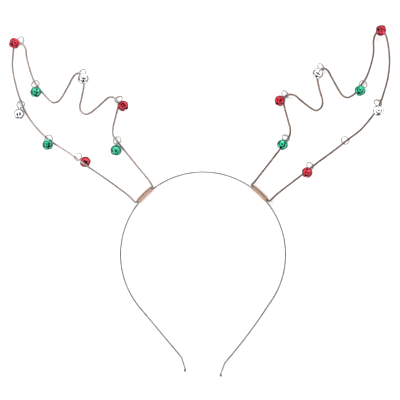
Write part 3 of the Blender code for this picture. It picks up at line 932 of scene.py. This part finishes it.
@dataclass
class JingleBell:
    """A hollow pressed bell: two cups, four slots with round ends, and a hanging loop."""

    wall: float = 0.0004
    slot_width: float = 0.0007
    slot_top_share: float = 0.3
    hole_radius: float = 0.00055
    seam_lip: float = 0.00003
    seam_groove: float = 0.00004
    seam_width: float = 0.00035
    petal_pinch: float = 0.0003
    pinch_reach: float = 0.0009
    petal_power: float = 2.8
    star_radius: float = 0.0015
    pinch_start: float = 0.05
    pinch_run: float = 0.45
    groove_sharpness: float = 4.0
    slots: int = 4
    fine_rows: int = 8
    solder: tuple[float, float, float] = (0.0009, 0.0006, 0.0003)
    solder_rise: float = 0.00002
    edge_width: float = 0.00015
    seam_line: float = 0.00012
    edge_wear: float = 0.55
    seam_wear: float = 0.35
    columns: int = 64
    rows: int = 60
    loop_steps: int = 32
    loop_sides: int = 10
    mesh: bpy.types.Mesh = field(init=False)

    def __post_init__(self) -> None:
        """Make the bell's mesh round the origin, its loop on top."""
        lean = math.acos(self.slot_top_share + self.hole_radius / BELL_RADIUS)
        sizes = {"Bell Radius": BELL_RADIUS, "Slot Width": self.slot_width,
                 "Slot Top": -self.slot_top_share * BELL_RADIUS - self.hole_radius,
                 "Hole Radius": self.hole_radius, "Hole Lean": lean, "Slots": self.slots,
                 "Star Radius": self.star_radius}
        shell = run_tree(slotted_bell_tree(), self.shell(), sizes)
        self.mesh = self.with_loop(shell)
        smooth_by_angle(self.mesh, BELL_SMOOTH_DEG)
        self.mark()

    def outside(self, angle: float) -> float:
        """Return the outer radius at an angle from the top, with the seam's lip."""
        rise = abs(BELL_RADIUS * math.cos(angle)) / self.seam_width
        if rise >= 1.0:
            return BELL_RADIUS
        lip = self.seam_lip * math.sin(math.pi * min(1.0, rise)) ** 2
        return BELL_RADIUS + lip - self.seam_groove * math.exp(-(rise * self.groove_sharpness) ** 2)

    def pinch(self, place: Vector) -> float:
        """Return how far the petals' edges are bent in at a place on the lower cup.

        Args:
            place: A point of the round shell.

        Returns:
            The share by which the point comes closer to the middle.
        """
        depth = -place.z + self.pinch_start * BELL_RADIUS
        fade = min(max(depth / (self.pinch_run * BELL_RADIUS), 0.0), 1.0)
        fade = fade * fade * (3.0 - 2.0 * fade)
        away = min(abs(place.x), abs(place.y)) / self.pinch_reach
        power = self.petal_power
        size = sum((abs(part) / place.length) ** power for part in place) ** (1.0 / power)
        boxed = 1.0 - 3.0 ** (1.0 / power - 0.5) / size
        return fade * (self.petal_pinch / BELL_RADIUS * math.exp(-away * away) + boxed)

    def angles(self) -> list[float]:
        """Return the angles of the shell's rows, closer together at the seam."""
        half = self.seam_width / BELL_RADIUS
        coarse = [math.pi * i / self.rows for i in range(1, self.rows)]
        coarse = [a for a in coarse if abs(a - math.pi / 2) > half * 1.2]
        steps = self.fine_rows
        fine = [math.pi / 2 + half * 1.1 * k / steps for k in range(-steps, steps + 1)]
        return sorted(coarse + fine)

    def shell(self) -> bpy.types.Mesh:
        """Return the closed hollow shell, before its slots are cut."""
        shape = bmesh.new()
        self.add_turned(shape, [(a, self.outside(a)) for a in self.angles()], False)
        inner = [math.pi * i / (self.rows // 2) for i in range(1, self.rows // 2)]
        self.add_turned(shape, [(a, BELL_RADIUS - self.wall) for a in inner], True)
        for vertex in shape.verts:
            vertex.co *= 1.0 - self.pinch(vertex.co)
        mesh = bpy.data.meshes.new("shell")
        shape.to_mesh(mesh)
        shape.free()
        return mesh

    def add_turned(self, shape: bmesh.types.BMesh, rows: list[tuple[float, float]],
                   inward: bool) -> None:
        """Add a turned skin to a shape.

        Args:
            shape: The shape that gets it.
            rows: Angle from the top and radius of each row, without the two poles.
            inward: Whether its faces look at the middle.
        """
        circles = []
        for angle, radius in rows:
            circles.append([shape.verts.new((
                radius * math.sin(angle) * math.cos(math.tau * k / self.columns),
                radius * math.sin(angle) * math.sin(math.tau * k / self.columns),
                radius * math.cos(angle))) for k in range(self.columns)])
        top = shape.verts.new((0.0, 0.0, rows[0][1]))
        foot = shape.verts.new((0.0, 0.0, -rows[-1][1]))
        faces = []
        for k in range(self.columns):
            j = (k + 1) % self.columns
            faces.append((top, circles[0][k], circles[0][j]))
            faces.append((foot, circles[-1][j], circles[-1][k]))
            faces += [(upper[k], lower[k], lower[j], upper[j])
                      for upper, lower in zip(circles, circles[1:])]
        for corners in faces:
            shape.faces.new(corners[::-1] if inward else corners)

    def with_loop(self, shell: bpy.types.Mesh) -> bpy.types.Mesh:
        """Return the shell with the hanging loop and its drop of solder on top."""
        shape = bmesh.new()
        shape.from_mesh(shell)
        rings = []
        for i in range(self.loop_steps):
            turn = math.tau * i / self.loop_steps
            out = Vector((math.sin(turn), 0.0, math.cos(turn)))
            middle = Vector((0.0, 0.0, BELL_DROP)) + out * LOOP_RADIUS
            ring = []
            for k in range(self.loop_sides):
                around = math.tau * k / self.loop_sides
                ring.append(shape.verts.new(middle + (out * math.cos(around)
                                            + Vector((0, 1, 0)) * math.sin(around))
                                            * (LOOP_WIRE / 2)))
            rings.append(ring)
        for i, ring in enumerate(rings):
            after = rings[(i + 1) % len(rings)]
            for k in range(self.loop_sides):
                j = (k + 1) % self.loop_sides
                shape.faces.new((ring[k], ring[j], after[j], after[k]))
        self.add_solder(shape)
        mesh = bpy.data.meshes.new("jingle_bell")
        shape.to_mesh(mesh)
        shape.free()
        return mesh

    def spun(self, degrees: float) -> bpy.types.Mesh:
        """Return a copy whose shell is turned under its loop."""
        copy = self.mesh.copy()
        turn = Matrix.Rotation(math.radians(degrees), 3, "Z")
        for vertex in copy.vertices:
            if vertex.co.z < BELL_RADIUS * 1.001:
                vertex.co = turn @ vertex.co
        return copy

    def add_solder(self, shape: bmesh.types.BMesh) -> None:
        """Add the flat drop of solder that holds the loop."""
        squash = Matrix.Diagonal((*self.solder, 1.0))
        place = Matrix.Translation((0.0, 0.0, BELL_RADIUS + self.solder_rise))
        bmesh.ops.create_uvsphere(shape, u_segments=20, v_segments=12, radius=1.0,
                                  matrix=place @ squash)

    def mark(self) -> None:
        """Store where the bell is worn, where its hollow side gets painted shade, and its own
        coordinates.
        """
        worn, hollow, own = [], [], []
        for vertex in self.mesh.vertices:
            place = vertex.co
            own.extend(place)
            radius = place.length / (1.0 - self.pinch(place))
            # Painted shade: vertices of the inner skin are marked to be darkened.
            hollow.append(1.0 if radius < BELL_RADIUS - self.wall * 0.6 else 0.0)
            near_slot = min(abs(place.x), abs(place.y)) - self.slot_width / 2
            low = place.z < -self.slot_top_share * BELL_RADIUS
            edge = max(0.0, 1.0 - near_slot / self.edge_width) if low else 0.0
            seam = max(0.0, 1.0 - abs(place.z) / self.seam_line)
            solder = 1.0 if place.z > BELL_RADIUS * 1.02 else 0.0
            worn.append(min(1.0, max(self.edge_wear * edge, self.seam_wear * seam, solder)))
        write_values(self.mesh, WEAR, worn)
        write_values(self.mesh, SHADE, hollow)
        straight = self.mesh.attributes.new(STRAIGHT, "FLOAT_VECTOR", "POINT")
        straight.data.foreach_set("vector", own)


@dataclass
class Charm:
    """A ring threaded on an antler, and the bell that hangs from it.

    Attributes:
        antler: The antler.
        number: Its place along the antler, from 1.
        bell: Colour of its bell, or None for a bare ring.
        share: Where it sits, as a share of the wire's length.
        offset: How far the ring stands to the left of travel, as a share of its play.
        bearing: Direction of the bell, in plan degrees.
        lean: Whether the ring leans forwards, 1, or back, -1.
        least: Lowest pitch of the bell out of the ring's plane, in degrees.
        spin: How far the bell is turned on its own axis, in degrees.
    """

    antler: Antler
    number: int
    bell: BellColour | None
    share: float
    offset: float
    bearing: float
    lean: int
    least: int
    spin: float
    centre: Vector = field(init=False)
    normal: Vector = field(init=False)
    towards: Vector = field(init=False)
    link: Vector = field(init=False)
    tangent: Vector = field(init=False)

    def __post_init__(self) -> None:
        """Work out how the ring lies and where the bell's loop hangs on it."""
        along = self.antler.at(self.share)
        shift = self.offset * (RING_RADIUS - RING_CLEARANCE)
        tilt = self.tilt(abs(shift))
        self.normal = UP * math.cos(tilt) + along[1] * (self.lean * math.sin(tilt))
        self.centre = along[0] + UP.cross(along[1]) * shift
        turns = range(-MOST_TURN_DEG, MOST_TURN_DEG + 1, TURN_STEP_DEG)
        for turn in sorted(turns, key=abs):
            self.aim(self.bearing + turn)
            if self.loop_clears():
                break

    @staticmethod
    def tilt(shift: float) -> float:
        """Return the least lean at which a shifted ring clears the wire in it."""
        part = RING_RADIUS ** 2 + shift ** 2 - RING_CLEARANCE ** 2
        root = math.sqrt(max(part ** 2 - (2 * RING_RADIUS * shift) ** 2, 0.0))
        return math.acos(math.sqrt((part + root) / (2 * RING_RADIUS ** 2)))

    def aim(self, bearing: float) -> None:
        """Set the place on the ring, in plan degrees, where the bell's loop hangs."""
        turn = math.radians(bearing)
        level = Vector((math.cos(turn), math.sin(turn), 0.0))
        rise = -self.normal.dot(level) / self.normal.z
        self.towards = (level + UP * rise).normalized()
        self.link = self.centre + self.towards * RING_RADIUS
        self.tangent = self.normal.cross(self.towards).normalized()

    def loop_clears(self) -> bool:
        """Return whether the bell's loop stays clear of the antler's wire."""
        wanted = LOOP_WIRE / 2 + WIRE_RADIUS + FIT_GAP
        around = (self.link + self.drop(360.0 / LOOP_CHECKS * i) * LOOP_RADIUS
                  for i in range(LOOP_CHECKS))
        return all(self.antler.distance(point) >= wanted for point in around)

    def drop(self, pitch_deg: float) -> Vector:
        """Return the bell's hanging direction at a pitch out of the ring's plane."""
        pitch = math.radians(pitch_deg)
        return self.towards * math.cos(pitch) + self.normal * math.sin(pitch)

    def settle(self) -> Vector:
        """Return the first hanging direction from its least pitch up that clears all."""
        wanted = BELL_RADIUS + WIRE_RADIUS + FIT_GAP
        for pitch in range(self.least, HIGHEST_PITCH_DEG):
            middle = self.link + self.drop(pitch) * BELL_DROP
            if middle.z >= TABLE + BELL_RADIUS and self.antler.distance(middle) >= wanted:
                break
        return self.drop(pitch)

    def place_copy(self, mesh: bpy.types.Mesh, axes: tuple[Vector, Vector, Vector],
                   middle: Vector) -> bpy.types.Mesh:
        """Return a copy of a mesh, turned to three axes and moved to its place."""
        copy = mesh.copy()
        copy.transform(Matrix.Translation(middle) @ Matrix(axes).transposed().to_4x4())
        shift_straight(copy, CHARM_SHIFT * self.number
                       + SIDE_SHIFT * self.antler.side.value)
        return copy

    def build(self, ring: SplitRing, bell: JingleBell) -> None:
        """Make the ring, and the bell if it has one.

        Args:
            ring: The split ring that is copied.
            bell: The bell that is copied.
        """
        word = f"{self.antler.side.word}_{self.number}"
        axes = (self.towards, self.tangent, self.normal)
        mesh = self.place_copy(ring.mesh, axes, self.centre)
        add_piece(f"ring_{word}", mesh, RING_SILVER, f"jump_ring_{word}")
        if self.bell is None:
            return
        drop = self.settle()
        across = self.tangent.cross(-drop)
        mesh = self.place_copy(bell.spun(self.spin), (across, self.tangent, -drop),
                               self.link + drop * BELL_DROP)
        add_piece(f"jingle_bell_{word}", mesh, BELLS[self.bell], f"bell_{word}")


# Each antler runs from its outer tip down the branched inner side to the strip, and
# back up the plain outer side. Each row is across, up and, where it isn't 0, lift.
# Across is in thousandths of the reach away from the middle of the binding, up is in
# thousandths of the height, and lift is how far the wire has ridden up over the bell
# that lies under it. The points were read off the enlarged photograph and then worked
# out as shares.
LEFT_INNER = (
    (980, 984), (949, 994), (920, 980), (898, 951), (892, 900), (876, 846), (854, 780),
    (823, 722), (768, 662), (717, 614), (692, 599), (658, 603), (627, 630), (578, 703),
    (528, 779), (499, 792), (468, 776), (456, 741), (460, 689), (479, 610), (488, 576),
    (479, 542), (444, 522), (411, 530), (319, 595), (271, 631), (240, 635), (211, 618),
    (196, 587), (213, 517), (236, 433), (235, 384), (206, 348), (140, 276), (29, 157),
    (-34, 91), (-55, 62),
)
LEFT_OUTER = (
    (122, -9), (277, 91, 0.25), (434, 185, 0.97), (475, 211, 1), (562, 264, 0.65),
    (684, 333, 0.1), (765, 387), (849, 468), (899, 536), (939, 613), (973, 712), (995, 804),
    (999, 853), (994, 918), (990, 954),
)
RIGHT_INNER = (
    (917, 990), (883, 971), (867, 930), (868, 875), (861, 827), (843, 773), (813, 708),
    (772, 658), (729, 611), (691, 589), (667, 582), (633, 592), (606, 619), (543, 708),
    (512, 750), (479, 760), (445, 739), (435, 699), (451, 631), (475, 559), (468, 526),
    (429, 503), (390, 515), (300, 570), (260, 596), (221, 601), (189, 589), (176, 559),
    (180, 529), (208, 446), (227, 385), (220, 348), (194, 316), (119, 238), (23, 140),
    (-47, 69), (-69, 48),
)
RIGHT_OUTER = (
    (113, -15), (225, 55), (327, 117), (440, 187), (563, 259), (676, 329), (759, 379),
    (821, 432), (883, 498), (923, 558), (953, 629), (976, 699), (989, 776), (988, 849),
    (973, 931), (954, 973),
)

# The rows below were found by a search for the places nearest the photograph's
# at which ring and bell clear the wire. A new size of wire, ring or bell wants a new
# search.
LEFT_CHARMS = (
    # bell, share of the wire's length, offset, bearing, lean, least pitch, spin
    (BellColour.RED, 0.010, 1.00, 207, 1, 25, 20),
    (BellColour.GREEN, 0.094, -0.20, 279, -1, 20, 35),
    (BellColour.SILVER, 0.222, 1.00, 243, -1, 20, 45),
    (BellColour.RED, 0.374, 1.00, 306, -1, -10, 10),
    (BellColour.GREEN, 0.452, 0.20, 270, -1, -10, 60),
    (BellColour.RED, 0.738, -1.00, 324, -1, 15, 30),
    (BellColour.GREEN, 0.804, -0.20, 234, -1, 80, 45),
    (BellColour.SILVER, 0.886, 0.60, 261, 1, -5, 5),
)
RIGHT_CHARMS = (
    # bell, share of the wire's length, offset, bearing, lean, least pitch, spin
    (BellColour.RED, 0.997, -1.00, 261, 1, 85, 50),
    (BellColour.GREEN, 0.104, 0.60, 162, -1, 20, 25),
    (BellColour.SILVER, 0.216, -1.00, 243, -1, 10, 70),
    (BellColour.RED, 0.364, -1.00, 234, -1, -15, 45),
    (BellColour.GREEN, 0.446, -1.00, 243, -1, 0, 15),
    (BellColour.RED, 0.690, 1.00, 252, 1, 5, 55),
    (None, 0.768, 0.50, 270, -1, -85, 0),
    (BellColour.SILVER, 0.860, 1.00, 279, 1, 0, 30),
)


@dataclass
class Studio:
    """The table, the light tent and the camera."""

    metres_per_pixel: float = 0.0008
    frame_pixels: float = 400.0
    band_pixel: tuple[float, float] = (203.0, 254.5)
    camera_height: float = 1.8
    sensor: float = 36.0
    floor_size: float = 6.0
    soft_box: float = 1.0
    left_box: tuple[float, float, float] = (-1.0, -0.35, 1.1)
    left_glow: float = 2.2
    back_box: tuple[float, float, float] = (0.25, 1.15, 1.1)
    back_glow: float = 2.6
    table_roughness: float = 0.9
    table_gloss: float = 0.1
    farthest: float = 20.0
    seen_colour: Colour = (0.95, 0.95, 0.95)
    bounced_colour: Colour = (0.34, 0.34, 0.34)
    zenith: float = 0.12
    tent: float = 3.4
    horizon: float = 1.2

    @property
    def view_centre(self) -> Vector:
        """Return the point that the middle of the picture shows."""
        right = self.frame_pixels / 2 - self.band_pixel[0]
        down = self.frame_pixels / 2 - self.band_pixel[1]
        return BAND_CENTRE + Vector((right, -down, 0.0)) * self.metres_per_pixel

    def build_floor(self) -> None:
        """Lay the table's top under the headband."""
        half = self.floor_size / 2
        mesh = bpy.data.meshes.new("table_top")
        corners = [(-half, -half, TABLE), (half, -half, TABLE), (half, half, TABLE),
                   (-half, half, TABLE)]
        mesh.from_pydata(corners, [], [(0, 1, 2, 3)])
        graph = ShaderGraph("matt white table")
        path = graph.node("ShaderNodeLightPath").outputs["Is Camera Ray"]
        graph.feed(graph.shader.inputs["Base Color"],
                   graph.blend(path, self.bounced_colour, self.seen_colour))
        graph.shader.inputs["Roughness"].default_value = self.table_roughness
        graph.shader.inputs["Specular IOR Level"].default_value = self.table_gloss
        mesh.materials.append(graph.material)
        floor = add_object("table_top", mesh)

    def build_tent(self) -> None:
        """Light the scene from a tent with a darker hole above for the lens."""
        world = bpy.data.worlds.new("light_tent")
        bpy.context.scene.world = world
        world.use_nodes = True
        nodes, links = world.node_tree.nodes, world.node_tree.links
        place = nodes.new("ShaderNodeTexCoord")
        parts = nodes.new("ShaderNodeSeparateXYZ")
        links.new(place.outputs["Generated"], parts.inputs[0])
        ramp = nodes.new("ShaderNodeValToRGB")
        ramp.color_ramp.interpolation = "EASE"
        stops = ((0.0, self.horizon), (0.25, self.tent), (0.52, self.tent),
                 (0.78, self.zenith))
        elements = ramp.color_ramp.elements
        elements[0].position = stops[0][0]
        elements[1].position = stops[-1][0]
        for position, _ in stops[1:-1]:
            elements.new(position)
        for element, (_, level) in zip(elements, stops):
            element.color = (level, level, level, 1.0)
        links.new(parts.outputs["Z"], ramp.inputs["Fac"])
        links.new(ramp.outputs["Color"], nodes["Background"].inputs["Color"])

    def build_lamp(self, name: str, place: Vector, glow: float) -> None:
        """Hang one square soft box that points at the headband.

        Args:
            name: Name of the lamp.
            place: Where its middle hangs.
            glow: How bright its face looks, against 1 for plain white.
        """
        lamp = bpy.data.lights.new(name, "AREA")
        lamp.shape = "RECTANGLE"
        lamp.size = lamp.size_y = self.soft_box
        lamp.energy = glow * math.pi * self.soft_box ** 2
        item = add_object(name, lamp)
        item.location = place
        item.rotation_euler = (self.view_centre - place).to_track_quat("-Z", "Y").to_euler()

    def build_camera(self) -> None:
        """Set the camera straight above, framed as in the photograph."""
        camera = bpy.data.cameras.new("camera")
        camera.sensor_width = self.sensor
        width = self.frame_pixels * self.metres_per_pixel
        camera.lens = self.sensor * self.camera_height / width
        camera.clip_end = self.farthest
        item = add_object("camera", camera)
        item.location = self.view_centre + UP * self.camera_height
        bpy.context.scene.camera = item

    def build(self) -> None:
        """Set up the whole studio."""
        bpy.context.scene.view_settings.view_transform = "Standard"
        self.build_floor()
        self.build_tent()
        self.build_lamp("left_soft_box", Vector(self.left_box), self.left_glow)
        self.build_lamp("back_soft_box", Vector(self.back_box), self.back_glow)
        self.build_camera()
        log.info("studio: floor, tent, two soft boxes and camera")


def main() -> None:
    """Build the headband piece by piece, and the studio round it."""
    logging.basicConfig(level=logging.INFO, format="%(message)s")
    wire = round_wire_tree()
    Studio().build()
    Strip().build()
    left = Antler(Side.LEFT, ROSE_WIRE, LEFT_SEAT_DEG, LEFT_REACH, LEFT_HEIGHT,
                  LEFT_INNER, LEFT_OUTER)
    right = Antler(Side.RIGHT, DARK_WIRE, RIGHT_SEAT_DEG, RIGHT_REACH, RIGHT_HEIGHT,
                   RIGHT_INNER, RIGHT_OUTER)
    ring = SplitRing()
    bell = JingleBell()
    for antler, rows in ((left, LEFT_CHARMS), (right, RIGHT_CHARMS)):
        antler.build(wire)
        Binding(antler).build(wire)
        for number, row in enumerate(rows, start=1):
            Charm(antler, number, *row).build(ring, bell)


if __name__ == "__main__":
    main()
